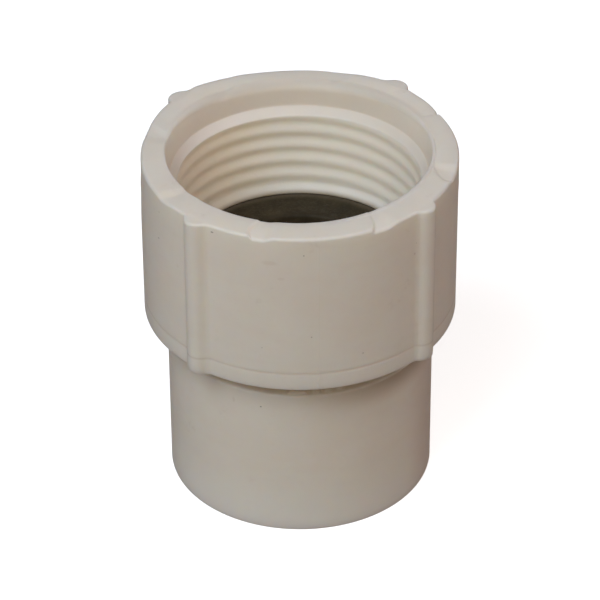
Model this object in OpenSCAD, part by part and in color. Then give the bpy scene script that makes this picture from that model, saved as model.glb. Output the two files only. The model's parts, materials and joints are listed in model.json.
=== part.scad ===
// Half of a pipe union for 1 inch plastic water pipe.
// A swivel nut with a female thread is held captive on a socket tailpiece
// and pulls a male threaded end down onto a flat rubber washer.

/* [Nut] */
// Outside diameter of the nut
nut_d = 40.1; // [38:0.1:44]
// Height of the nut
nut_h = 22.2; // [20:0.1:28]
// Gap under the nut, above the shoulder of the tailpiece
nut_gap = 3.3; // [2.2:0.1:3.6]
// Thickness of the lip that catches the bead of the tailpiece
lip_h = 2.4; // [1.8:0.1:2.6]
// Diameter of the hole through the lip
lip_d = 28.0; // [27.8:0.1:28.4]

/* [Grip ribs] */
// Number of half-round ribs down the side of the nut
rib_count = 4; // [2:1:8]
// Diameter of the round that makes a rib
rib_d = 3.4; // [3:0.1:5]
// How far a rib stands out of the nut
rib_out = 1.2; // [0.8:0.05:1.5]
// Angle of the first rib about the axis
rib_angle = -39.5; // [-180:0.5:180]

/* [Rim] */
// Diameter of the smooth mouth above the thread
mouth_d = 33.0; // [32.6:0.1:33.6]
// Width of the low raised ring around the mouth
ring_w = 0.65; // [0.4:0.05:1]
// Height of the low raised ring
ring_h = 0.2; // [0.1:0.05:0.4]
// Number of shallow notches in the rim
notch_count = 8; // [4:1:12]
// Depth of a notch
notch_depth = 0.5; // [0.2:0.05:0.8]
// Angle of the straight side of the first notch
notch_angle = -10.5; // [-180:0.5:180]
// Angle that a notch spans at the outside of the rim
notch_span_out = 10; // [6:0.5:14]
// Angle that a notch spans at the mouth
notch_span_in = 4; // [2:0.5:8]

/* [Thread] */
// Pitch of the 1 inch straight pipe thread, 11.5 threads to the inch
pitch = 2.209; // [2.1:0.001:2.3]
// Diameter at the thread crests
crest_d = 30.8; // [30.6:0.1:31.2]
// Depth of the thread
thread_depth = 1.15; // [0.9:0.05:1.2]
// Flat at the bottom of each groove
root_flat = 0.35; // [0.2:0.05:0.5]
// Number of thread grooves
groove_count = 5; // [4:1:5]

/* [Tailpiece] */
// Outside diameter of the socket body
body_d = 34.3; // [33.6:0.1:35]
// Height of the socket body, up to the shoulder
body_h = 21.3; // [20.6:0.1:23]
// Inside diameter of the pipe socket
socket_d = 28.6; // [28.4:0.1:28.9]
// Depth of the pipe socket
socket_depth = 18.8; // [16:0.1:19]
// Diameter of the waterway
bore_d = 20.8; // [19:0.1:22]
// Diameter of the neck inside the lip of the nut
neck_d = 27.2; // [26.4:0.1:27.4]
// Diameter of the bead that keeps the nut on
bead_d = 29.2; // [28.8:0.1:29.6]
// Straight height of the bead
bead_land = 0.3; // [0.2:0.05:0.5]
// Height of the taper from the bead up to the seat
bead_taper = 0.4; // [0.2:0.05:0.6]
// Diameter of the flat sealing seat
seat_d = 28.0; // [27:0.1:28.4]
// Free travel of the lip of the nut up to the bead
lip_play = 0.95; // [0.9:0.05:1.2]

/* [Shoulder marks] */
// Number of groups of plain raised marks around the shoulder
mark_groups = 4; // [0:1:5]
// Number of round dots after the bar in each group
dot_count = 3; // [1:1:4]
// Angle from one mark of a group to the next
mark_step = 5.5; // [5:0.5:8]
// Angle that the first bar is turned from the front
mark_angle = -1.5; // [-180:0.5:180]
// Height of a mark
mark_h = 0.3; // [0.2:0.05:0.4]
// Length of the bar around the shoulder
bar_len = 2.2; // [1:0.1:2.6]
// Width of a mark across the shoulder
mark_w = 1.1; // [0.8:0.1:1.4]
// Distance from the edge of the shoulder to the middle of a mark
mark_inset = 1.1; // [1:0.1:1.4]

/* [Washer] */
// Outside diameter of the washer
washer_d = 31.4; // [31.2:0.1:31.6]
// Diameter of the hole in the washer
washer_hole_d = 19.5; // [19:0.1:20.4]
// Thickness of the washer
washer_h = 2.3; // [2:0.1:2.4]
// Chamfer around the hole of the washer
washer_chamfer = 0.5; // [0.2:0.1:0.8]

/* [Hidden] */
$fn = 96;

nut_r = nut_d / 2;
body_r = body_d / 2;
mouth_r = mouth_d / 2;
crest_r = crest_d / 2;
root_r = crest_r + thread_depth;
bore_r = bore_d / 2;
socket_r = socket_d / 2;
neck_r = neck_d / 2;

edge = 0.3;           // small chamfer on moulded edges
socket_lead = 0.5;    // lead-in at the mouth of the socket
relief_r = 16;        // smooth pocket in the nut, round the washer
washer_play = 0.05;   // space between the washer and the thread end
thread_angle = 30;    // slope of a thread flank
over = 1;             // how far a cut runs past the surface

// Heights up the axis, from the foot of the tailpiece
nut_z = body_h + nut_gap;
lip_top = nut_z + lip_h;
bead_z = lip_top + lip_play;
seat_z = bead_z + bead_land + bead_taper;
washer_top = seat_z + washer_h;
rim_z = nut_z + nut_h;

// Heights of the thread
flank = thread_depth * tan(thread_angle);
crest_flat = pitch - 2 * flank - root_flat;
thread_bottom = washer_top + washer_play;
thread_top = thread_bottom + groove_count * pitch + crest_flat;
mouth_floor = thread_top + (mouth_r - crest_r);

rib_centre = nut_r + rib_out - rib_d / 2;

// The grooves of the thread, from the lowest one up
groove_points = [
    for (i = [0 : groove_count - 1])
        let (z = thread_bottom + crest_flat + i * pitch)
            each [
                [crest_r, z],
                [root_r, z + flank],
                [root_r, z + flank + root_flat],
                [crest_r, z + 2 * flank + root_flat]
            ]
];

// Half of the section cut out of the nut: the lip, the relief, the thread and the mouth
cavity_section = concat(
    [
        [0, nut_z - over],
        [lip_d / 2, nut_z - over],
        [lip_d / 2, lip_top],
        [relief_r, lip_top],
        [relief_r, thread_bottom],
        [crest_r, thread_bottom]
    ],
    groove_points,
    [
        [crest_r, thread_top],
        [mouth_r, mouth_floor],
        [mouth_r, rim_z + ring_h + over],
        [0, rim_z + ring_h + over]
    ]
);

// Half of the tailpiece's section: socket, shoulder, neck, bead and seat
tailpiece_section = [
    [socket_r + socket_lead, 0],
    [body_r - edge, 0],
    [body_r, edge],
    [body_r, body_h - edge],
    [body_r - edge, body_h],
    [neck_r, body_h],
    [neck_r, bead_z],
    [bead_d / 2, bead_z],
    [bead_d / 2, bead_z + bead_land],
    [seat_d / 2, seat_z],
    [bore_r, seat_z],
    [bore_r, socket_depth],
    [socket_r, socket_depth],
    [socket_r, socket_lead]
];

washer_section = [
    [washer_hole_d / 2, seat_z],
    [washer_d / 2, seat_z],
    [washer_d / 2, washer_top],
    [washer_hole_d / 2 + washer_chamfer, washer_top],
    [washer_hole_d / 2, washer_top - washer_chamfer]
];

// Outline of the nut seen along its axis: a circle with half-round ribs
module nut_outline() {
    circle(nut_r);
    for (i = [0 : rib_count - 1])
        rotate(rib_angle + i * 360 / rib_count)
            translate([rib_centre, 0])
                circle(d = rib_d);
}

// The space cut out of the rim by one notch: wide outside, narrow at the mouth
module notch() {
    inner = mouth_r - over;
    outer = nut_r + over;
    translate([0, 0, rim_z - notch_depth])
        linear_extrude(notch_depth + ring_h + over)
            polygon([
                [inner, 0],
                [outer, 0],
                outer * [cos(notch_span_out), -sin(notch_span_out)],
                inner * [cos(notch_span_in), -sin(notch_span_in)]
            ]);
}

// Swivel nut, with its thread cut as level rings of the same pitch
module union_nut() {
    color([0.86, 0.83, 0.77])
        difference() {
            union() {
                translate([0, 0, nut_z])
                    linear_extrude(nut_h)
                        nut_outline();
                translate([0, 0, nut_z])
                    cylinder(r = mouth_r + ring_w, h = nut_h + ring_h);
            }
            rotate_extrude()
                polygon(cavity_section);
            for (i = [0 : notch_count - 1])
                rotate(notch_angle + i * 360 / notch_count)
                    notch();
        }
}

// A bar and a row of round dots, raised on the shoulder, starting at the front
module mark_group() {
    mark_r = body_r - mark_inset;
    base_z = body_h - edge;
    translate([-bar_len / 2, -mark_r - mark_w / 2, base_z])
        cube([bar_len, mark_w, mark_h + edge]);
    for (i = [1 : dot_count])
        rotate((i + 0.5) * mark_step)
            translate([0, -mark_r, base_z])
                cylinder(d = mark_w, h = mark_h + edge);
}

// Socket body with shoulder, neck, retaining bead and sealing seat
module tailpiece() {
    color([0.84, 0.80, 0.74]) {
        rotate_extrude()
            polygon(tailpiece_section);
        if (mark_groups > 0)
            for (i = [0 : mark_groups - 1])
                rotate(mark_angle + i * 360 / mark_groups)
                    mark_group();
    }
}

// Flat rubber washer on the sealing seat
module washer() {
    color([0.24, 0.22, 0.20])
        rotate_extrude()
            polygon(washer_section);
}

tailpiece();
washer();
union_nut();
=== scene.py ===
import json
import math

import bpy
import numpy as np
from mathutils import Matrix, Vector


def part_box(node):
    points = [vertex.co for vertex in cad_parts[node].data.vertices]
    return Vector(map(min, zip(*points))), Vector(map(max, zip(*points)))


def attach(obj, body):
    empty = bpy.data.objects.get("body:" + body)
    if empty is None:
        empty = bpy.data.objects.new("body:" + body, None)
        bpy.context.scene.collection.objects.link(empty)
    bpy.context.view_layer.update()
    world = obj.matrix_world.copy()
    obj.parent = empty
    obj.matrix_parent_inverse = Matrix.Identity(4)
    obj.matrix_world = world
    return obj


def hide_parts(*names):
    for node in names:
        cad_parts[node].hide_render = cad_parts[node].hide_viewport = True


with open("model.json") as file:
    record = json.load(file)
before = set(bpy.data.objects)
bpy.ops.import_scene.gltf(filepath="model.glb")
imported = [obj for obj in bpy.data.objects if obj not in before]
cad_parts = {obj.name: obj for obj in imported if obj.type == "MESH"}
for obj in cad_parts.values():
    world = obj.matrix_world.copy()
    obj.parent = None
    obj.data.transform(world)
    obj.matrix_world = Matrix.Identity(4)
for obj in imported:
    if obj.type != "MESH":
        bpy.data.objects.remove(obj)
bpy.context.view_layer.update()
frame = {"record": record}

# ---------------------------------------------------------------- sizes, in millimetres
MM = 0.001
TURN = 2 * math.pi


def node_box(node):
    """The lowest and highest corner of a CAD node, in millimetres."""
    low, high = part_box(node)
    return low / MM, high / MM


def mount(name):
    """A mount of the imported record."""
    return next(m for m in frame["record"]["mounts"] if m["name"] == name)


nut_low, nut_high = node_box("union_nut")
tail_low, tail_high = node_box("tailpiece")
washer_low, washer_high = node_box("washer")
thread_mount = mount("nut_thread")
socket_mount = mount("pipe_socket")

NUT_R = 20.05
NUT_FOOT = nut_low.z - 0.25       # the foot looks a little lower than the CAD's
NUT_EDGE = 0.35                   # rounding of the rim's outer edge
FOOT_EDGE = 0.15                  # rounding of the foot's outer edge
CAD_RING_H = 0.2
RIM_Z = nut_high.z - CAD_RING_H
FLAT_R = 18.5                     # the rim is flat from here outwards, all the way round
RING_H = 0.16                     # the ring looks a little lower than the CAD's
RING_OUT = 17.15
RING_IN = 16.6
ROUND = 0.4                       # the mouth edge's rounding, before its share at each angle
MOUTH_R = 16.15
MOUTH_H = 2.2                     # how far below the rim the mouth stops narrowing
LEAD_H = 1.15                     # height of the lead-in over the thread
# The mouth's edge isn't quite round: degrees, and radius
MOUTH_EDGE = [(-180, 16.78), (-145, 16.44), (-90, 16.36), (-45, 16.42), (-10, 16.58), (20, 16.75),
              (60, 16.60), (90, 16.72), (120, 16.72), (150, 16.90), (180, 16.78)]

PARTING = math.radians(-84.6)     # the front seam of the two-part mould; the back one is opposite
SEAM_OFF = 0.019                  # the seam's raised line stands this far beside it, in radians
# Ribs of the front and of the back half: degrees from the seam, stand-out, radius of the round, and
# how many degrees the side towards the seam leans, clockwise from it and anticlockwise from it
RIBS = ((0.0, 45.3, 1.08, 1.65, 2.0, 22.0), (math.pi, 43.9, 1.14, 1.78, 0.0, 0.0))
RIB_DROP = 0.07                   # a rib ends a little below the rim

# Each notch: middle angle; where its steep side stands outside, halfway and inside (from the middle);
# half width of that side; its gentle side; depth outside and inside; degrees and millimetres
NOTCHES = [
    (-17, -2.9, -1.8, 9.0, 1.3, 3.0, 8.5, 0.36, 0.20),
    (-61, -2.6, 0.2, 1.3, 0.6, 3.0, 8.5, 0.44, 0.08),
    (-107, -0.3, -2.3, -0.5, 0.7, 3.8, 8.2, 0.44, 0.14),
    (-152, 1.5, 2.5, 3.5, 2.4, 4.0, 12.0, 0.24, 0.20),
    (163, -2.0, 1.0, 4.5, 2.4, 4.5, 11.0, 0.22, 0.16),
    (118, -3.5, 0.5, 4.5, 2.2, 4.0, 14.0, 0.12, 0.22),
    (73, -4.0, 0.0, 4.0, 2.6, 2.5, 9.5, 0.08, 0.14),
    (28, -1.3, -0.8, 1.0, 0.8, -2.0, 9.0, 0.48, 0.02),
]

PITCH = 2.209
CREST_R = thread_mount["dims"]["r_mm"]
THREAD_LENGTH = thread_mount["dims"]["length_mm"]
THREAD_MIDDLE = thread_mount["pos_m"][2] / MM
THREAD_BOTTOM = THREAD_MIDDLE - THREAD_LENGTH / 2
THREAD_TOP = THREAD_MIDDLE + THREAD_LENGTH / 2
THREAD_DEPTH = 0.27               # as deep as the worn, rounded thread shows
CREST_Z = 42.48                   # middle of the top crest, on the +Y side

RELIEF_R = 16.0
LIP_R = 14.0
LIP_TOP = nut_low.z + 2.4
LIP_EDGE = 0.25                   # rounding of the lip's hole at the foot
WITNESS_Z = nut_low.z + 2.2       # a faint line of the mould round the foot of the nut

BODY_R = tail_high.x
SHOULDER_Z = 21.3
SEAT_Z = washer_low.z
WASHER_TOP = washer_high.z
WASHER_R = washer_high.x

SAMPLES = 7200                    # angles at which the ribs' outline is worked out


# ---------------------------------------------------------------- section outlines
def line(start, end, count):
    """Points from start to end, with the end left out."""
    t = np.arange(count)[:, None] / count
    return np.array(start) * (1 - t) + np.array(end) * t


def arc(centre, radius, start_deg, end_deg, count):
    """Points of an arc in the section plane, with the end left out."""
    a = np.radians(start_deg + (end_deg - start_deg) * np.arange(count) / count)
    return np.stack([centre[0] + radius * np.cos(a), centre[1] + radius * np.sin(a)], 1)


def smoothstep(x, low, high):
    """0 below low, 1 above high, and a smooth curve between."""
    t = np.clip((x - low) / (high - low), 0, 1)
    return t * t * (3 - 2 * t)


def angle_from(theta, centre):
    """The signed angle from centre to theta, between -pi and pi."""
    return (theta - centre + math.pi) % TURN - math.pi


def lathe(name, radius, height, theta):
    """A closed mesh from grids of radius and height, stations down and angles across."""
    stations, angles = radius.shape
    x = radius * np.cos(theta)
    y = radius * np.sin(theta)
    points = np.stack([x, y, height], 2).reshape(-1, 3) * MM
    s, a = np.meshgrid(np.arange(stations), np.arange(angles), indexing="ij")
    s2 = (s + 1) % stations
    a2 = (a + 1) % angles
    quads = np.stack([s * angles + a, s * angles + a2, s2 * angles + a2, s2 * angles + a], 2)
    mesh = bpy.data.meshes.new(name)
    mesh.from_pydata(points.tolist(), [], quads.reshape(-1, 4).tolist())
    mesh.shade_smooth()
    mesh.validate()
    piece = bpy.data.objects.new(name, mesh)
    bpy.context.scene.collection.objects.link(piece)
    return piece


# ---------------------------------------------------------------- the nut
def rib_outline():
    """How far the ribs stand out at each sampled angle: steep away from the seam, cleared towards it."""
    theta = np.arange(SAMPLES) / SAMPLES * TURN
    raw = np.full_like(theta, NUT_R)
    for seam_turn, spread, stand, round_r, *leans in RIBS:
        seam = PARTING + seam_turn
        middle = NUT_R + stand - round_r
        for side, lean in zip((-1, 1), leans):
            centre = seam + side * math.radians(spread)
            off = angle_from(theta, centre)
            across = middle * np.sin(off)
            inside = np.clip(round_r ** 2 - across ** 2, 0, None)
            tip = middle * np.cos(off) + np.sqrt(inside)
            near = (np.abs(across) < round_r) & (np.abs(off) < 0.3)
            raw = np.maximum(raw, np.where(near, tip, 0))
            # towards the seam the side runs nearly along the mould's pull
            turned = math.radians(spread + lean)
            from_face = angle_from(theta, seam - side * math.radians(lean)) * side
            level = middle * math.cos(turned) + round_r
            pull = level / np.cos(np.clip(from_face, 0, 1.4))
            beside = (from_face > 0) & (from_face < turned) & (np.abs(off) < 0.14)
            limit = math.atan2(middle * math.sin(turned), level)
            raw = np.maximum(raw, np.where(beside & (from_face < limit), pull, 0))
    smooth = []
    narrow_width, wide_width = 23, 91
    for width in (narrow_width, wide_width):
        kernel = np.hanning(width + 2)[1:-1]
        padded = np.concatenate([raw[-width:], raw, raw[:width]])
        smooth.append(np.convolve(padded, kernel / kernel.sum(), "same")[width:-width] - NUT_R)
    # the front ribs have a wide fillet where their side towards the seam meets the wall
    outline = smooth[0]
    rib_to_fillet = 5.6
    for side, wide in ((-1, 1.2), (1, 1.9)):
        foot = PARTING + side * math.radians(RIBS[0][1] - rib_to_fillet)
        soft = np.exp(-((np.degrees(angle_from(theta, foot)) / wide) ** 4))
        outline = outline * (1 - soft) + smooth[1] * soft
    return outline


RIB_OUTLINE = rib_outline()


def rib_bulge(theta):
    """How far the ribs stand out of the nut at each angle."""
    return np.interp(theta, np.arange(SAMPLES) / SAMPLES * TURN, RIB_OUTLINE, period=TURN)


def rib_mask(theta):
    """1 on top of a rib and 0 away from it."""
    return smoothstep(rib_bulge(theta), 0.02, 0.35)


def back_fullness(theta):
    """The rim's back is a little fuller beside its two ribs; on the right up to a notch's sharp corner."""
    rib = PARTING + math.pi + math.radians(RIBS[1][1])
    off = np.degrees(angle_from(theta, rib))
    left = np.where(off > 0, 0.42 * np.exp(-(np.abs(off) / 18.0) ** 2.4),
                    (0.42 + 0.18 * smoothstep(-off, 2, 9)) * np.exp(-(np.abs(off) / 28.0) ** 3))
    rib = PARTING + math.pi - math.radians(RIBS[1][1])
    off = np.degrees(angle_from(theta, rib))
    seam_side = 0.42 * np.exp(-((off / 21.0) ** 2))
    far_side = (0.19 + 0.23 * np.exp(-((off / 9.0) ** 2))) * smoothstep(off, -23.5, -21.5)
    return left + np.where(off > 0, seam_side, far_side)


def mouth_edge(theta):
    """Radius of the mouth's edge at each angle."""
    angles, radii = zip(*MOUTH_EDGE)
    fine = np.arange(-180, 181, 2)
    rough = np.interp(fine, angles, radii)
    kernel = np.hanning(15)[1:-1]
    margin = 7
    padded = np.concatenate([rough[-margin - 1:-1], rough, rough[1:margin + 1]])
    smooth = np.convolve(padded, kernel / kernel.sum(), "same")[margin:-margin]
    return np.interp(np.degrees(angle_from(theta, 0.0)), fine, smooth)


def notch_cut(theta, radius):
    """Depth of the rim notches: a gentle side, a floor, and a steep side that leans across the rim."""
    depth = np.zeros_like(theta * radius)
    across = np.clip((NUT_R - radius) / (NUT_R - RING_IN), 0, 1)
    for middle, out, halfway, inner, half, slope_in, slope_out, deep_out, deep_in in NOTCHES:
        off = np.degrees(angle_from(theta, math.radians(middle)))
        bow = 4 * across * (1 - across)
        bend = out + (inner - out) * across + (halfway - (out + inner) / 2) * bow
        slope = 1 - smoothstep(off, slope_in, slope_out)
        wall = smoothstep(off, bend - half, bend + half)
        floor = deep_in + (deep_out - deep_in) * (1 - across) ** 1.5
        depth = np.maximum(depth, floor * slope * wall)
    return depth


def thread_radius(theta, z):
    """Radius of the threaded wall, for a right-hand helix with rounded crests and roots."""
    crest = CREST_Z + PITCH * (theta - math.pi / 2) / TURN
    worn = 1 - 0.62 * np.cos(theta) ** 2
    depth = THREAD_DEPTH * worn * (0.5 - 0.5 * np.cos(TURN * (crest - z) / PITCH))
    fade = smoothstep(z, THREAD_BOTTOM + 0.1, THREAD_BOTTOM + 1.5)
    narrow = 0.45 * np.clip(1 - (z - THREAD_BOTTOM) / 8.5, 0, 1) ** 2
    return CREST_R + depth * fade - 0.35 * (1 - fade) - narrow


def nut_section():
    """The nut's outline in its section plane, going round from the hole in the lip."""
    mouth_floor = THREAD_TOP + LEAD_H
    # more stations where there is more to shape
    below_line, above_line, near_rim = WITNESS_Z - 0.5, WITNESS_Z + 0.5, RIM_Z - 2.5
    # the mouth narrows a little from its edge
    rows = 12
    down = np.arange(rows) / rows
    narrowing_r = MOUTH_R + (RING_IN - MOUTH_R) * (1 - down)
    narrowing_z = RIM_Z - ROUND - (MOUTH_H - ROUND) * down
    narrowing = np.stack([narrowing_r, narrowing_z], 1)
    parts = [
        arc((LIP_R + LIP_EDGE, NUT_FOOT + LIP_EDGE), LIP_EDGE, 180, 270, 4),
        line((LIP_R + LIP_EDGE, NUT_FOOT), (NUT_R - FOOT_EDGE, NUT_FOOT), 12),
        arc((NUT_R - FOOT_EDGE, NUT_FOOT + FOOT_EDGE), FOOT_EDGE, -90, 0, 6),
        line((NUT_R, NUT_FOOT + FOOT_EDGE), (NUT_R, below_line), 4),
        line((NUT_R, below_line), (NUT_R, above_line), 10),
        line((NUT_R, above_line), (NUT_R, near_rim), 12),
        line((NUT_R, near_rim), (NUT_R, RIM_Z - NUT_EDGE), 8),
        arc((NUT_R - NUT_EDGE, RIM_Z - NUT_EDGE), NUT_EDGE, 0, 90, 7),
        line((NUT_R - NUT_EDGE, RIM_Z), (RING_OUT + 0.1, RIM_Z), 20),
        line((RING_OUT + 0.1, RIM_Z), (RING_IN + ROUND, RIM_Z), 10),
        arc((RING_IN + ROUND, RIM_Z - ROUND), ROUND, 90, 180, 9),
        narrowing,
        line((MOUTH_R, RIM_Z - MOUTH_H), (MOUTH_R, mouth_floor + 0.15), 5),
    ]
    bore_parts = [
        line((MOUTH_R, mouth_floor + 0.15), (MOUTH_R - 0.15, mouth_floor - 0.15), 3),
        line((MOUTH_R - 0.15, mouth_floor - 0.15), (CREST_R, THREAD_TOP), 10),
        line((CREST_R, THREAD_TOP), (CREST_R, THREAD_BOTTOM), 98),
    ]
    end_parts = [
        line((CREST_R, THREAD_BOTTOM), (RELIEF_R, THREAD_BOTTOM), 3),
        line((RELIEF_R, THREAD_BOTTOM), (RELIEF_R, LIP_TOP), 6),
        line((RELIEF_R, LIP_TOP), (LIP_R, LIP_TOP), 4),
        line((LIP_R, LIP_TOP), (LIP_R, NUT_FOOT + LIP_EDGE), 5),
    ]
    before = np.concatenate(parts)
    bore = np.concatenate(bore_parts)
    after = np.concatenate(end_parts)
    section = np.concatenate([before, bore, after])
    in_bore = np.zeros(len(section), bool)
    in_bore[len(before):len(before) + len(bore)] = True
    return section, in_bore


def nut_angles():
    """Angles across the nut's mesh, closer together on the ribs, the notches' steep sides and the seams."""
    fine = np.arange(SAMPLES) / SAMPLES * TURN
    weight = np.full_like(fine, 1.0)
    weight += 1.6 * (rib_bulge(fine) > 0.005)
    for notch in NOTCHES:
        off = np.degrees(angle_from(fine, math.radians(notch[0])))
        weight += 0.9 * ((off > -5.5) & (off < 7.5))
    for seam in (PARTING, PARTING + math.pi):
        weight += 6.0 * (np.abs(angle_from(fine, seam + SEAM_OFF)) < 0.012)
    total = np.concatenate([[0], np.cumsum(weight)])
    count = 900
    spots = np.arange(count) / count * total[-1]
    return np.interp(spots, total, np.arange(SAMPLES + 1) / SAMPLES * TURN)


def with_ribs(r0, z0, theta, radius, height):
    """The ribs push the outside out, and end a little below the rim."""
    outside = smoothstep(r0, NUT_R - 1.2, NUT_R - NUT_EDGE)
    foot_round = 0.1 * np.clip((NUT_FOOT + 0.5 - z0) / 0.5, 0, 1) ** 2
    radius = radius + outside * rib_bulge(theta) * (1 - foot_round)
    on_top = smoothstep(z0, RIM_Z - 1.2, RIM_Z - 0.2) * smoothstep(radius, 19.45, 19.75)
    return radius, height - RIB_DROP * on_top * rib_mask(theta)


def with_fuller_back(r0, z0, theta, radius):
    """The rim's back is fuller beside its ribs, and its left side is drawn in a little."""
    full = back_fullness(theta) * smoothstep(z0, RIM_Z - 6, RIM_Z - 0.5)
    outside = smoothstep(r0, NUT_R - 1.2, NUT_R - NUT_EDGE)
    drawn = np.exp(-((np.degrees(angle_from(theta, math.pi)) / 24) ** 2))
    drawn = drawn * smoothstep(z0, RIM_Z - 10, RIM_Z - 1) * outside
    return radius + full * smoothstep(r0, 17.3, 19.8) - 0.17 * drawn


def with_mouth(r0, z0, theta, radius, height):
    """The mouth's edge is uneven and rounder at the back, and its wall and lead-in stand below it."""
    edge_r = mouth_edge(theta)
    share = 0.25 + 3.15 * (0.5 + 0.5 * np.sin(theta)) ** 3
    fillet = ROUND * share
    foot_r = MOUTH_R + (0.30 + 0.60 * np.clip(np.sin(theta), 0, 1) ** 2) * (edge_r - MOUTH_R)

    # the flat rim, with the ring on it, begins where the fillet ends
    flat = (np.abs(z0 - RIM_Z) < 0.001) & (r0 > RING_IN + ROUND + 0.001) & (r0 < FLAT_R)
    ring_out = np.maximum(RING_OUT + 0.1, edge_r + fillet + 0.12)
    for low, high, new_low, new_high in ((RING_IN + ROUND, RING_OUT + 0.1, edge_r + fillet, ring_out),
                                         (RING_OUT + 0.1, FLAT_R, ring_out, FLAT_R)):
        along = (r0 - low) / (high - low)
        part = flat & (r0 > low) & (r0 <= high)
        radius = np.where(part, new_low + along * (new_high - new_low), radius)

    # the fillet
    top_z = RIM_Z - ROUND
    rounded = (r0 <= RING_IN + ROUND) & (z0 >= top_z) & (r0 > RING_IN - 0.01)
    radius = np.where(rounded, edge_r + (r0 - RING_IN) * share, radius)
    height = np.where(rounded, RIM_Z - (RIM_Z - z0) * share, height)

    # the wall, from the fillet down to the lead-in
    down = np.clip((top_z - z0) / (top_z - THREAD_TOP - LEAD_H - 0.15), 0, 1)
    wall = (r0 <= RING_IN + 0.001) & (z0 < top_z - 0.001) & (z0 > THREAD_TOP + LEAD_H - 0.05)
    radius = np.where(wall, foot_r + (edge_r - foot_r) * (1 - down) ** 1.5, radius)
    height = height + np.where(wall, (ROUND - fillet) * (1 - down) - 0.7 * down * (foot_r - MOUTH_R), 0)

    # the lead-in
    cone = (r0 > CREST_R + 0.001) & (z0 <= THREAD_TOP + LEAD_H - 0.05) & (z0 > THREAD_TOP)
    climb = np.clip((z0 - THREAD_TOP) / LEAD_H, 0, 1) * (foot_r - MOUTH_R)
    radius = radius + np.where(cone, climb, 0)
    return radius, height - np.where(cone, 0.7 * climb, 0)


def with_mould_lines(r0, z0, theta, radius):
    """The mould's witness line low on the wall, and its two seams, between the ribs."""
    wall = (r0 > NUT_R - 0.01) * (1 - rib_mask(theta))
    radius = radius - 0.035 * np.exp(-(((z0 - WITNESS_Z) / 0.22) ** 2)) * wall
    for seam in (PARTING, PARTING + math.pi):
        beside = angle_from(theta, seam + SEAM_OFF) * NUT_R
        radius = radius + 0.03 * np.exp(-((beside / 0.07) ** 2)) * wall
    return radius


def ring_height(r0, z0, theta):
    """A low round ring along the mouth, only clear at the front right."""
    side = np.degrees(angle_from(theta, math.radians(-22)))
    ring = 0.12 + 0.88 * (1 - smoothstep(np.abs(side), 25, 62))
    bead = smoothstep(r0, RING_IN - 0.1, RING_IN + 0.2)
    bead = bead * (1 - smoothstep(r0, RING_OUT - 0.08, RING_OUT + 0.06))
    return RING_H * ring * bead * (z0 > RIM_Z - 0.5)


def make_nut():
    section, in_bore = nut_section()
    theta = nut_angles()[None, :]
    r0 = section[:, :1]
    z0 = section[:, 1:]
    radius = r0 + 0 * theta
    height = z0 + 0 * theta

    radius, height = with_ribs(r0, z0, theta, radius, height)
    radius = with_fuller_back(r0, z0, theta, radius)
    radius, height = with_mouth(r0, z0, theta, radius, height)
    # the fuller back of the rim also stands a little higher
    raised = 0.5 * back_fullness(theta) * smoothstep(radius, 17.9, 20.2)
    height = height + raised * smoothstep(z0, RIM_Z - 3, RIM_Z - 0.4)
    radius = with_mould_lines(r0, z0, theta, radius)
    height = height + ring_height(r0, z0, theta)

    # the notches lower the rim, and the walls under them
    near_top = smoothstep(z0, RIM_Z - 2.4, RIM_Z - 0.3)
    height = height - near_top * notch_cut(theta, radius) * (r0 > MOUTH_R - 0.01)

    # the thread is cut into the bore and into its lead-in
    threaded = thread_radius(theta, height)
    bore = np.where(z0 > THREAD_TOP, np.maximum(radius, threaded), threaded)
    radius = np.where(in_bore[:, None], bore, radius)
    return lathe("swivel_nut", radius, height, theta)


# ---------------------------------------------------------------- the tailpiece
def mark_height(theta, radius):
    """Plain raised marks on the shoulder: a bar and three dots, in four groups."""
    mark_r = BODY_R - 1.1
    half = 0.55
    soft = 0.14
    height = np.zeros_like(theta * radius)
    for group in range(4):
        start = math.radians(-91.5 + 90 * group)
        off = angle_from(theta, start) * mark_r
        out = radius - mark_r
        bar = np.maximum(np.abs(off) - 1.1, np.abs(out) - half)
        height = np.maximum(height, 1 - smoothstep(bar, -soft, soft))
        for dot in range(1, 4):
            spot = start + math.radians((dot + 0.5) * 5.5)
            side = angle_from(theta, spot) * mark_r
            away = np.sqrt(side ** 2 + out ** 2) - half
            height = np.maximum(height, 1 - smoothstep(away, -soft, soft))
    return 0.3 * height


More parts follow.
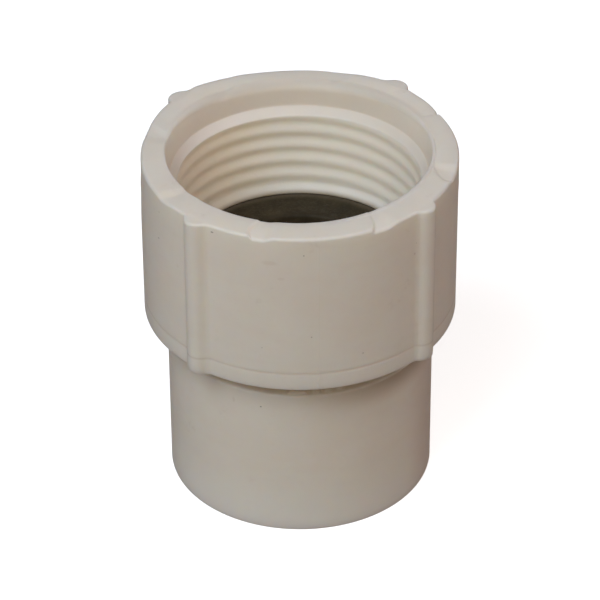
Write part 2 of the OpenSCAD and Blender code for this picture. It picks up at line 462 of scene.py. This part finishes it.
def tailpiece_section():
    """The tailpiece's outline in its section plane."""
    socket_r = socket_mount["dims"]["r_mm"]
    socket_top = 18.8
    bore_r = 10.4
    neck_r = 13.6
    bead_r = 14.6
    bead_z = 27.95
    edge = 0.35
    parts = [
        arc((socket_r + 0.9, 0.4), 0.4, 180, 270, 5),
        line((socket_r + 0.9, 0), (BODY_R - 0.12, 0), 6),
        arc((BODY_R - 0.12, 0.12), 0.12, -90, 0, 4),
        line((BODY_R, 0.12), (BODY_R, SHOULDER_Z - edge), 30),
        arc((BODY_R - edge, SHOULDER_Z - edge), edge, 0, 90, 6),
        line((BODY_R - edge, SHOULDER_Z), (BODY_R - 2, SHOULDER_Z), 26),
        line((BODY_R - 2, SHOULDER_Z), (neck_r + 0.4, SHOULDER_Z), 4),
        arc((neck_r + 0.4, SHOULDER_Z + 0.4), 0.4, 270, 180, 5),
        line((neck_r, SHOULDER_Z + 0.4), (neck_r, bead_z), 8),
        line((neck_r, bead_z), (bead_r - 0.1, bead_z), 3),
        arc((bead_r - 0.1, bead_z + 0.1), 0.1, -90, 0, 3),
        line((bead_r, bead_z + 0.1), (bead_r, bead_z + 0.3), 2),
        line((bead_r, bead_z + 0.3), (14.0, SEAT_Z), 4),
        line((14.0, SEAT_Z), (bore_r + 0.2, SEAT_Z), 6),
        arc((bore_r + 0.2, SEAT_Z - 0.2), 0.2, 90, 180, 4),
        line((bore_r, SEAT_Z - 0.2), (bore_r, socket_top), 8),
        line((bore_r, socket_top), (socket_r - 0.3, socket_top), 6),
        arc((socket_r - 0.3, socket_top - 0.3), 0.3, 90, 0, 4),
        line((socket_r, socket_top - 0.3), (socket_r, 1.0), 14),
        line((socket_r, 1.0), (socket_r + 0.5, 0.4), 4),
    ]
    return np.concatenate(parts)


def make_tailpiece():
    section = tailpiece_section()
    theta = (np.arange(720) / 720 * TURN)[None, :]
    r0 = section[:, :1]
    z0 = section[:, 1:]
    radius = r0 + 0 * theta
    height = z0 + 0 * theta
    on_shoulder = (np.abs(z0 - SHOULDER_Z) < 0.02) & (r0 < BODY_R) & (r0 > 14.2)
    height = height + mark_height(theta, radius) * on_shoulder
    return lathe("socket_tailpiece", radius, height, theta)


# ---------------------------------------------------------------- the washer
def make_washer():
    hole_r = 9.75
    roll = 0.55
    top = WASHER_TOP
    parts = [
        line((hole_r + 0.2, SEAT_Z), (WASHER_R - 0.25, SEAT_Z), 12),
        arc((WASHER_R - 0.25, SEAT_Z + 0.25), 0.25, -90, 0, 4),
        line((WASHER_R, SEAT_Z + 0.25), (WASHER_R, top - 0.25), 4),
        arc((WASHER_R - 0.25, top - 0.25), 0.25, 0, 90, 4),
        line((WASHER_R - 0.25, top), (hole_r + roll + 0.9, top), 30),
        line((hole_r + roll + 0.9, top), (hole_r + roll, top), 6),
        arc((hole_r + roll, top - roll), roll, 90, 180, 8),
        line((hole_r, top - roll), (hole_r, SEAT_Z + 0.2), 5),
        arc((hole_r + 0.2, SEAT_Z + 0.2), 0.2, 180, 270, 4),
    ]
    section = np.concatenate(parts)
    theta = (np.arange(480) / 480 * TURN)[None, :]
    r0 = section[:, :1]
    radius = r0 + 0 * theta
    height = section[:, 1:] + 0 * theta
    on_top = (np.abs(section[:, 1:] - top) < 0.001) & (r0 > hole_r + roll)
    pip_angle = math.radians(72.7)
    side = angle_from(theta, pip_angle) * 12.4
    away = np.sqrt(side ** 2 + (r0 - 12.4) ** 2)
    height = height + on_top * 0.16 * (1 - smoothstep(away, 0.1, 0.5))
    dish = 0.1 * smoothstep(r0, hole_r + roll, 12.0) * (1 - smoothstep(r0, 13.0, 15.2))
    height = height - on_top * dish
    return lathe("flat_washer", radius, height, theta)


# ---------------------------------------------------------------- materials
class Nodes:
    """Short ways to add shader nodes to one material."""

    def __init__(self, name):
        self.material = bpy.data.materials.new(name)
        self.material.use_nodes = True
        self.tree = self.material.node_tree
        self.shader = self.tree.nodes["Principled BSDF"]
        self.place = self.add("ShaderNodeTexCoord").outputs["Object"]

    def add(self, kind, **settings):
        node = self.tree.nodes.new(kind)
        for key, value in settings.items():
            setattr(node, key, value)
        return node

    def link(self, source, target):
        if isinstance(source, (int, float)):
            target.default_value = source
        else:
            self.tree.links.new(source, target)

    def scaled(self, scale):
        """The object's own coordinates, stretched by scale along each axis."""
        node = self.add("ShaderNodeMapping")
        node.inputs["Scale"].default_value = scale
        self.link(self.place, node.inputs["Vector"])
        return node.outputs["Vector"]

    def noise(self, scale, detail=3.0, roughness=0.5, place=None):
        node = self.add("ShaderNodeTexNoise")
        self.link(self.place if place is None else place, node.inputs["Vector"])
        node.inputs["Scale"].default_value = scale
        node.inputs["Detail"].default_value = detail
        node.inputs["Roughness"].default_value = roughness
        return node.outputs["Fac"]

    def ramp(self, value, low, high, out_low=0.0, out_high=1.0):
        node = self.add("ShaderNodeMapRange", interpolation_type="SMOOTHSTEP")
        self.link(value, node.inputs["Value"])
        node.inputs["From Min"].default_value = low
        node.inputs["From Max"].default_value = high
        node.inputs["To Min"].default_value = out_low
        node.inputs["To Max"].default_value = out_high
        return node.outputs["Result"]

    def math(self, operation, first, second=0.0):
        node = self.add("ShaderNodeMath", operation=operation)
        self.link(first, node.inputs[0])
        self.link(second, node.inputs[1])
        return node.outputs[0]

    def span(self, value, low, high, out_low=0.0, out_high=1.0):
        """A ramp along a coordinate, with its ends in millimetres."""
        return self.ramp(value, low * MM, high * MM, out_low, out_high)

    def times(self, *values):
        product = values[0]
        for value in values[1:]:
            product = self.math("MULTIPLY", product, value)
        return product

    def axes(self, place):
        """The X, Y and Z of a place, by name."""
        node = self.add("ShaderNodeSeparateXYZ")
        self.link(place, node.inputs[0])
        return node.outputs

    def off_axis(self, place):
        """A place's distance from the Z axis."""
        flat = self.add("ShaderNodeVectorMath", operation="MULTIPLY")
        self.link(place, flat.inputs[0])
        flat.inputs[1].default_value = (1, 1, 0)
        node = self.add("ShaderNodeVectorMath", operation="LENGTH")
        self.link(flat.outputs["Vector"], node.inputs[0])
        return node.outputs["Value"]

    def mix(self, share, first, second):
        """Mixes two colours, each an (r, g, b) or the output of a node."""
        node = self.add("ShaderNodeMix", data_type="RGBA")
        sockets = {s.identifier: s for s in node.inputs}
        self.link(share, sockets["Factor_Float"])
        for value, key in ((first, "A_Color"), (second, "B_Color")):
            if isinstance(value, tuple):
                sockets[key].default_value = (*value, 1)
            else:
                self.link(value, sockets[key])
        return next(s for s in node.outputs if s.identifier == "Result_Color")

    def near(self, place, spot, half_sizes):
        """1 round a spot and 0 outside an ellipsoid of these half sizes."""
        apart = self.add("ShaderNodeVectorMath", operation="SUBTRACT")
        self.link(place, apart.inputs[0])
        apart.inputs[1].default_value = spot
        share = self.add("ShaderNodeVectorMath", operation="DIVIDE")
        self.link(apart.outputs["Vector"], share.inputs[0])
        share.inputs[1].default_value = half_sizes
        away = self.add("ShaderNodeVectorMath", operation="LENGTH")
        self.link(share.outputs["Vector"], away.inputs[0])
        return self.ramp(away.outputs["Value"], 0.45, 1.0, 1, 0)

    def bump(self, value, distance, under=None, strength=1.0):
        node = self.add("ShaderNodeBump")
        node.inputs["Distance"].default_value = distance
        node.inputs["Strength"].default_value = strength
        self.link(value, node.inputs["Height"])
        if under is not None:
            self.link(under, node.inputs["Normal"])
        return node.outputs["Normal"]


# Marks of wear on the plastic. Each: angle, radius, height and half sizes along X, Y and Z in
# millimetres, how strong it is, and its colour
DARK = (0.13, 0.08, 0.04)
BROWN = (0.45, 0.30, 0.17)
NUT_MARKS = [
    (-122.0, 20.05, 45.95, (0.25, 0.35, 0.12), 0.62, DARK),
    (-100.7, 20.05, 43.20, (1.25, 0.80, 0.42), 0.10, BROWN),
    (-96.6, 20.05, 41.00, (0.60, 0.80, 0.28), 0.09, BROWN),
    (-130.5, 20.90, 37.90, (0.15, 0.20, 0.15), 0.60, DARK),
    (-150.6, 20.05, 40.40, (0.14, 0.16, 0.14), 0.50, DARK),
    (-149.8, 20.05, 44.40, (0.12, 0.14, 0.12), 0.35, DARK),
    (-123.9, 20.50, 40.45, (0.18, 0.40, 0.30), 0.55, BROWN),
    (-124.7, 21.00, 45.20, (0.36, 0.40, 0.20), 0.40, BROWN),
    (-124.4, 20.50, 37.55, (0.15, 0.40, 0.16), 0.45, BROWN),
    (-124.7, 20.50, 34.50, (0.15, 0.40, 0.16), 0.45, BROWN),
    (-103.6, 20.05, 30.50, (0.10, 0.12, 0.10), 0.30, DARK),
    (-88.6, 20.05, 44.45, (0.12, 0.14, 0.12), 0.45, DARK),
    (-86.0, 20.05, 32.40, (0.12, 0.14, 0.12), 0.38, DARK),
    (-45.5, 20.20, 40.80, (0.16, 0.30, 0.32), 0.50, BROWN),
    (-44.8, 20.20, 42.30, (0.12, 0.20, 0.12), 0.40, DARK),
    (-67.2, 20.05, 28.90, (0.16, 0.20, 0.14), 0.30, DARK),
]
TAILPIECE_MARKS = [
    (-107.0, 17.15, 19.20, (0.16, 0.20, 0.13), 0.55, DARK),
    (-119.5, 17.15, 19.25, (0.20, 0.30, 0.50), 0.12, BROWN),
]


def mouth_painted_shade(m, at, out, colour):
    """The mouth's wall is painted a little darker at the back, and so is its fillet: painted shade, which
    also damps the fillet's highlight.
    """
    back = m.span(at["Y"], 4, 15)
    inside = m.span(out, 17.1, 18.3, 1, 0)
    lower = m.span(at["Z"], RIM_Z - 0.4, RIM_Z + 0.22, 1, 0.35)
    above = m.span(at["Z"], THREAD_TOP + 0.81, THREAD_TOP + 1.21)
    # painted shade: the mouth's wall is darkened at the back
    colour = m.mix(m.times(inside, lower, above, back), colour, (0.830, 0.765, 0.665))
    # painted shade: the fillet is darkened at the back, damping its highlight
    fillet = m.span(at["Z"], RIM_Z - 0.9, RIM_Z - 0.3)
    fillet_end = m.span(at["Z"], RIM_Z - 0.1, RIM_Z + 0.23, 0.8, 0.1)
    nearby = m.span(out, 17.2, 18.3, 1, 0)
    return m.mix(m.times(fillet, fillet_end, nearby, back), colour, (0.700, 0.655, 0.575))


def bore_painted_light_and_shade(m, at, out, colour):
    """Painted light and shade in the bore: the lead-in is painted darker as shade, the thread is clean but
    painted warmer as warm bounce light, most on its left, and its foot is painted darker as shade beside
    the dark washer.
    """
    bore = m.span(out, 16.9, 17.1, 1, 0)
    lead_top = m.span(at["Z"], THREAD_TOP + 1.21, THREAD_TOP + 0.71)
    lead_foot = m.span(at["Z"], THREAD_TOP - 0.39, THREAD_TOP + 0.11)
    # painted shade: the lead-in is darkened
    colour = m.mix(m.times(bore, lead_top, lead_foot, 0.8), colour, (0.860, 0.800, 0.715))
    thread = m.times(bore, m.span(at["Z"], THREAD_TOP + 0.21, THREAD_TOP - 0.59))
    # painted light: the thread is warmed, as by warm bounce light
    colour = m.mix(m.times(thread, 0.8), colour, (1.0, 0.918, 0.800))
    # painted light: warmer still on the left, as by warm bounce light
    left = m.times(thread, m.span(at["X"], 0, -12))
    colour = m.mix(left, colour, (1.0, 0.852, 0.680))
    # painted shade: the thread's foot is darkened beside the dark washer
    foot = m.span(at["Z"], THREAD_BOTTOM + 0.09, THREAD_BOTTOM + 0.89, 0.75, 0)
    return m.mix(m.times(m.span(out, 17.1, 18.3, 1, 0), foot), colour, (0.42, 0.32, 0.20))


def nut_painted_light_and_shade(m, place, colour):
    """The nut's mouth and bore get painted light and shade, and its witness line gets a thin painted dark
    line of shade.
    """
    at = m.axes(place)
    out = m.off_axis(place)
    colour = mouth_painted_shade(m, at, out, colour)
    colour = bore_painted_light_and_shade(m, at, out, colour)
    # painted shade: a thin dark line along the mould's witness line
    line_foot = m.span(at["Z"], WITNESS_Z - 0.3, WITNESS_Z)
    line_top = m.span(at["Z"], WITNESS_Z, WITNESS_Z + 0.25, 0.22, 0)
    outside = m.span(out, 19.0, 19.5)
    return m.mix(m.times(line_foot, line_top, outside), colour, (0.50, 0.38, 0.27))


def tailpiece_painted_light_and_shade(m, place, colour):
    """The body is painted paler towards its end, as bounce light from the floor, painted darker on its
    right as shade, and painted brown under the nut's right side as the nut's shadow.
    """
    at = m.axes(place)
    # painted light: paler towards the end, as bounce light from the floor
    colour = m.mix(m.span(at["Z"], 10, 1), colour, (1.0, 0.925, 0.832))
    # painted shadow: brown under the nut's right side, where the nut's shadow falls
    right = m.span(at["X"], -1, 16, 0.0, 0.72)
    under = m.span(at["Z"], SHOULDER_Z - 4.1, SHOULDER_Z + 0.1)
    below = m.span(at["Z"], SHOULDER_Z - 0.3, SHOULDER_Z, 1, 0)
    colour = m.mix(m.times(under, right, below), colour, (0.42, 0.31, 0.21))
    # painted shade: darker on the body's right side
    side = m.span(at["X"], 13.5, 17.2, 0, 0.5)
    return m.mix(m.times(side, below), colour, (0.62, 0.52, 0.42))


def ivory(name, shift, tints, marks):
    """Moulded ivory plastic: faintly mottled, fine-grained, with specks and marks of wear, and tints that
    paint light and shade into its colour.
    """
    m = Nodes(name)
    own_place = m.place
    # the noises are read from a shifted place, so that no two pieces look alike
    place = m.add("ShaderNodeVectorMath", operation="ADD")
    m.link(m.place, place.inputs[0])
    place.inputs[1].default_value = (shift, shift * 0.7, shift * 1.3)
    m.place = place.outputs[0]
    cloud = m.noise(140, 3, 0.55)
    fine = m.noise(1300, 3, 0.6)
    flow = m.noise(1.0, 3, 0.5, m.scaled((150, 150, 620)))
    colour = m.mix(m.ramp(cloud, 0.3, 0.7), (0.930, 0.855, 0.750), (0.950, 0.880, 0.780))
    colour = m.mix(m.ramp(flow, 0.45, 0.75, 0, 0.35), colour, (0.915, 0.832, 0.722))
    colour = m.mix(m.ramp(fine, 0.55, 0.8, 0, 0.3), colour, (0.890, 0.800, 0.686))
    stains = m.times(m.ramp(m.noise(240, 2, 0.6), 0.62, 0.75), m.ramp(fine, 0.4, 0.65), 0.10)
    colour = m.mix(stains, colour, (0.42, 0.31, 0.20))
    speck = m.add("ShaderNodeTexVoronoi", feature="F1")
    m.link(m.place, speck.inputs["Vector"])
    speck.inputs["Scale"].default_value = 190
    keep = m.add("ShaderNodeSeparateColor")
    m.link(speck.outputs["Color"], keep.inputs["Color"])
    dot = m.ramp(speck.outputs["Distance"], 0.018, 0.038, 1, 0)
    few = m.math("GREATER_THAN", keep.outputs["Red"], 0.95)
    colour = m.mix(m.times(dot, few, 0.6), colour, (0.16, 0.11, 0.07))
    # the tints paint light and shade into the colour
    colour = tints(m, own_place, colour)
    for angle, radius, height, half_sizes, strength, tint in marks:
        turn = math.radians(angle)
        spot = Vector((radius * math.cos(turn), radius * math.sin(turn), height)) * MM
        share = m.near(own_place, spot, Vector(half_sizes) * MM)
        colour = m.mix(m.times(share, strength), colour, tint)
    m.link(colour, m.shader.inputs["Base Color"])
    m.link(m.ramp(m.noise(420, 3, 0.6), 0.3, 0.75, 0.40, 0.56), m.shader.inputs["Roughness"])
    grain = m.bump(m.noise(5200, 2, 0.6), 0.00005, strength=0.30)
    waves = m.bump(m.noise(230, 2, 0.5), 0.0004, grain, 0.16)
    m.link(waves, m.shader.inputs["Normal"])
    m.shader.inputs["IOR"].default_value = 1.5
    m.shader.inputs["Specular IOR Level"].default_value = 0.35
    m.shader.inputs["Subsurface Weight"].default_value = 0.55
    m.shader.inputs["Subsurface Radius"].default_value = (1.0, 0.8, 0.6)
    m.shader.inputs["Subsurface Scale"].default_value = 0.0030
    return m.material


def rubber():
    """Dark grey-brown washer rubber, matt, with a little dust and a painted reflection near its edge."""
    m = Nodes("washer_rubber_look")
    cloud = m.noise(420, 4, 0.6)
    fine = m.noise(2600, 3, 0.6)
    colour = m.mix(m.ramp(cloud, 0.3, 0.72), (0.026, 0.020, 0.009), (0.048, 0.037, 0.019))
    colour = m.mix(m.ramp(fine, 0.55, 0.8, 0, 0.4), colour, (0.115, 0.098, 0.068))
    # dust gathers at the foot of the nut's wall, and a lighter painted reflection of the wall lies there
    # too
    dust_and_reflection = m.span(m.off_axis(m.place), 13.6, 15.2, 0, 0.8)
    colour = m.mix(dust_and_reflection, colour, (0.170, 0.140, 0.100))
    m.link(colour, m.shader.inputs["Base Color"])
    m.link(m.ramp(fine, 0.3, 0.7, 0.5, 0.78), m.shader.inputs["Roughness"])
    grain = m.bump(m.noise(3800, 3, 0.65), 0.00006, strength=0.5)
    m.link(m.bump(cloud, 0.0003, grain, 0.25), m.shader.inputs["Normal"])
    m.shader.inputs["Specular IOR Level"].default_value = 0.25
    return m.material


def plain(name, colour, glow):
    """A plain matt finish for the floor and the backdrop, with a little light of its own."""
    m = Nodes(name)
    m.shader.inputs["Base Color"].default_value = (*colour, 1)
    m.shader.inputs["Roughness"].default_value = 0.9
    m.shader.inputs["Specular IOR Level"].default_value = 0.0
    m.shader.inputs["Emission Color"].default_value = (1, 1, 1, 1)
    m.shader.inputs["Emission Strength"].default_value = glow
    return m.material


# ---------------------------------------------------------------- the object
nut = make_nut()
nut.data.materials.append(ivory("ivory_nut_look", 0.0, nut_painted_light_and_shade, NUT_MARKS))
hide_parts("union_nut")
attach(nut, "union_nut")

tailpiece = make_tailpiece()
tailpiece.data.materials.append(ivory("ivory_tailpiece_look", 0.131, tailpiece_painted_light_and_shade, TAILPIECE_MARKS))
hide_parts("tailpiece")
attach(tailpiece, "tailpiece")

washer = make_washer()
washer.data.materials.append(rubber())
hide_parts("washer")
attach(washer, "washer")


# ---------------------------------------------------------------- the studio
def stage_mesh(name, points, quads, material):
    mesh = bpy.data.meshes.new(name)
    mesh.from_pydata(points, [], quads)
    mesh.materials.append(material)
    mesh.shade_smooth()
    piece = bpy.data.objects.new(name, mesh)
    bpy.context.scene.collection.objects.link(piece)
    return piece


def make_floor():
    """A large round floor just under the object."""
    rings = [0.0, 0.03, 0.06, 0.12, 0.3, 1.0, 3.0]
    sides = 64
    points = [(0, 0, -0.00002)]
    quads = []
    for ring in rings[1:]:
        for k in range(sides):
            a = TURN * k / sides
            points.append((ring * math.cos(a), ring * math.sin(a), -0.00002))
    for k in range(sides):
        quads.append((0, 1 + k, 1 + (k + 1) % sides))
    for i in range(len(rings) - 2):
        first, second = 1 + i * sides, 1 + (i + 1) * sides
        for k in range(sides):
            n = (k + 1) % sides
            quads.append((first + k, second + k, second + n, first + n))
    floor = stage_mesh("floor", points, quads, plain("floor_white", (0.86, 0.86, 0.86), 0.72))
    floor.visible_diffuse = False
    floor.visible_glossy = False
    floor.visible_transmission = False
    return floor


def make_backdrop():
    """A white dome round the floor, so that every view has the same plain background."""
    sides, rows, size = 48, 16, 3.0
    points = []
    quads = []
    for i in range(rows + 1):
        up = math.pi / 2 * i / rows
        for k in range(sides):
            a = TURN * k / sides
            points.append((size * math.cos(a) * math.cos(up), size * math.sin(a) * math.cos(up),
                           size * math.sin(up) - 0.01))
    for i in range(rows):
        for k in range(sides):
            n = (k + 1) % sides
            quads.append((i * sides + k, i * sides + n, (i + 1) * sides + n, (i + 1) * sides + k))
    dome = stage_mesh("backdrop", points, quads, plain("backdrop_white", (0, 0, 0), 1.0))
    dome.visible_diffuse = False
    dome.visible_glossy = False
    dome.visible_transmission = False
    dome.visible_shadow = False
    return dome


def soft_light(name, azimuth, elevation, distance, size, energy, colour):
    """A square soft light aimed at the object, from an azimuth counted from +X."""
    data = bpy.data.lights.new(name, "AREA")
    data.shape = "SQUARE"
    data.size = size
    data.energy = energy
    data.color = colour
    lamp = bpy.data.objects.new(name, data)
    a, e = math.radians(azimuth), math.radians(elevation)
    back = Vector((math.cos(a) * math.cos(e), math.sin(a) * math.cos(e), math.sin(e)))
    lamp.location = Vector((0, 0, 0.03)) + back * distance
    lamp.rotation_mode = "QUATERNION"
    lamp.rotation_quaternion = (-back).to_track_quat("-Z", "Y")
    bpy.context.scene.collection.objects.link(lamp)
    return lamp


make_floor()
make_backdrop()

world = bpy.data.worlds.new("studio_air")
world.use_nodes = True
air = world.node_tree.nodes["Background"]
air.inputs["Color"].default_value = (0.193, 0.152, 0.131, 1)
air.inputs["Strength"].default_value = 1.0
direction = world.node_tree.nodes.new("ShaderNodeTexCoord")
upward = world.node_tree.nodes.new("ShaderNodeSeparateXYZ")
world.node_tree.links.new(direction.outputs["Generated"], upward.inputs[0])
fall = world.node_tree.nodes.new("ShaderNodeMapRange")
world.node_tree.links.new(upward.outputs["Z"], fall.inputs["Value"])
for key, value in (("From Min", -0.05), ("From Max", 0.05), ("To Min", 1.0), ("To Max", 0.35)):
    fall.inputs[key].default_value = value
world.node_tree.links.new(fall.outputs["Result"], air.inputs["Strength"])
bpy.context.scene.world = world

# A far lamp's power is pi^2 * distance^2 times the light it sends back from a white surface facing it
POWER = math.pi ** 2 * 0.9 ** 2
soft_light("key", -130, 50, 0.9, 0.5, 0.467 * POWER, (0.906, 1.0, 1.103))
soft_light("front", -90, 35, 0.9, 0.5, 0.155 * POWER, (1.086, 1.0, 0.841))
soft_light("right", 0, 45, 0.9, 0.5, 0.205 * POWER, (1.139, 1.0, 1.029))

bpy.context.scene.view_settings.view_transform = "Standard"
bpy.context.scene.view_settings.look = "None"

# The camera stands above the front and looks down at the object
camera_data = bpy.data.cameras.new("camera")
camera_data.lens = 198.5
camera_data.sensor_width = 36
camera_data.clip_start = 0.01
camera_data.clip_end = 20
camera = bpy.data.objects.new("camera", camera_data)
bpy.context.scene.collection.objects.link(camera)
tilt = Matrix.Rotation(math.radians(55.38), 4, "X")
roll = Matrix.Rotation(-0.0054, 4, "Z")
camera.matrix_world = Matrix.Translation((0, -0.35158, 0.26688)) @ tilt @ roll
bpy.context.scene.camera = camera

bpy.context.view_layer.update()
